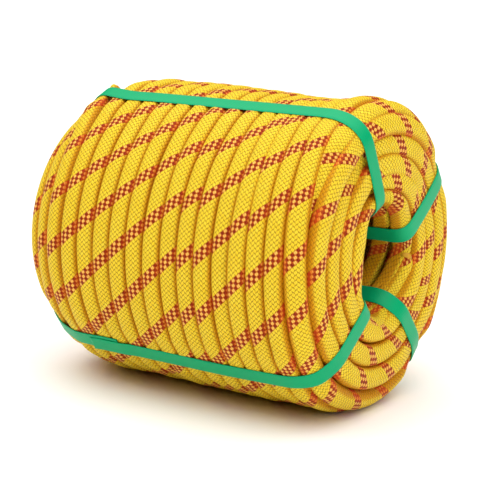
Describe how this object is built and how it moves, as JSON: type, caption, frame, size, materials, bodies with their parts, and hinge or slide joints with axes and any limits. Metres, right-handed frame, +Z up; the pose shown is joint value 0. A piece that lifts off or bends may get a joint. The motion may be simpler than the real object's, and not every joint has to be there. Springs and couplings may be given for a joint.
{
  "type": "coiled climbing rope",
  "caption": "Barrel-shaped factory coil of yellow kernmantle climbing rope with red tracer yarns, wound in layers round an open bore and bound lengthwise by narrow green straps.",
  "frame": {"origin": "on the floor under the middle of the coil, which lies on its side", "axes": "+Z up, X along the coil's axis and bore, +X to the end face with the rope's inner end, -Y towards the viewer"},
  "size_m": [0.1976, 0.155, 0.154],
  "materials": {
    "rope": "braided polyamide sheath, soft sheen",
    "sealed_end": "melted polyamide, dull",
    "strap": "rolled polypropylene, satin"
  },
  "bodies": {
    "root": {"outer_layer": "rope", "left_face_turns": "rope", "inner_layers": "rope", "outer_end_seal": "sealed_end", "inner_end_seal": "sealed_end", "strap_top_near": "strap", "strap_bottom_near": "strap", "strap_top_far": "strap", "strap_bottom_far": "strap"}
  },
  "joints": []
}
